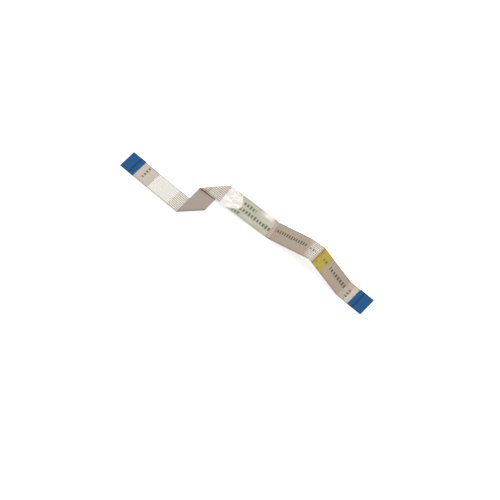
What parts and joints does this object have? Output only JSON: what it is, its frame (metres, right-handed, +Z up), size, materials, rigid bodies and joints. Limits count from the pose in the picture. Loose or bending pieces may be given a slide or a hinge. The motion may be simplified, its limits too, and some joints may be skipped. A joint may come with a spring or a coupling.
{
  "type": "flat flex cable",
  "caption": "Flat flex cable with stiffened contact ends, lying with a Z fold and a low arch, for joining board connectors.",
  "frame": {"origin": "middle of the base of the object's box, on the table", "axes": "+Z up from the table; +X along the flat left end, from its tip towards the right end; +Y across the cable"},
  "size_m": [0.0774, 0.0166, 0.0083],
  "materials": {
    "back_film": "satin taupe polyester film, smooth on the outside",
    "face_film": "satin pale beige polyester film, ridged over the conductors",
    "stiffener": "blue dyed polyester sheet, smooth and faintly glossy",
    "clear_tape": "clear adhesive tape with an olive-grey cast, crumpled and glossy at one end",
    "yellow_tape": "translucent amber-yellow tape, patchy and slightly glossy",
    "conductor": "flat rolled copper with a bright tin plating"
  },
  "bodies": {
    "root": {"back_film": "back_film", "face_film": "face_film", "left_stiffener": "stiffener", "right_stiffener": "stiffener", "clear_tape": "clear_tape", "yellow_tape": "yellow_tape", "conductor_01": "conductor", "conductor_02": "conductor", "conductor_03": "conductor", "conductor_04": "conductor", "conductor_05": "conductor", "conductor_06": "conductor", "conductor_07": "conductor", "conductor_08": "conductor", "conductor_09": "conductor", "conductor_10": "conductor"}
  },
  "joints": []
}
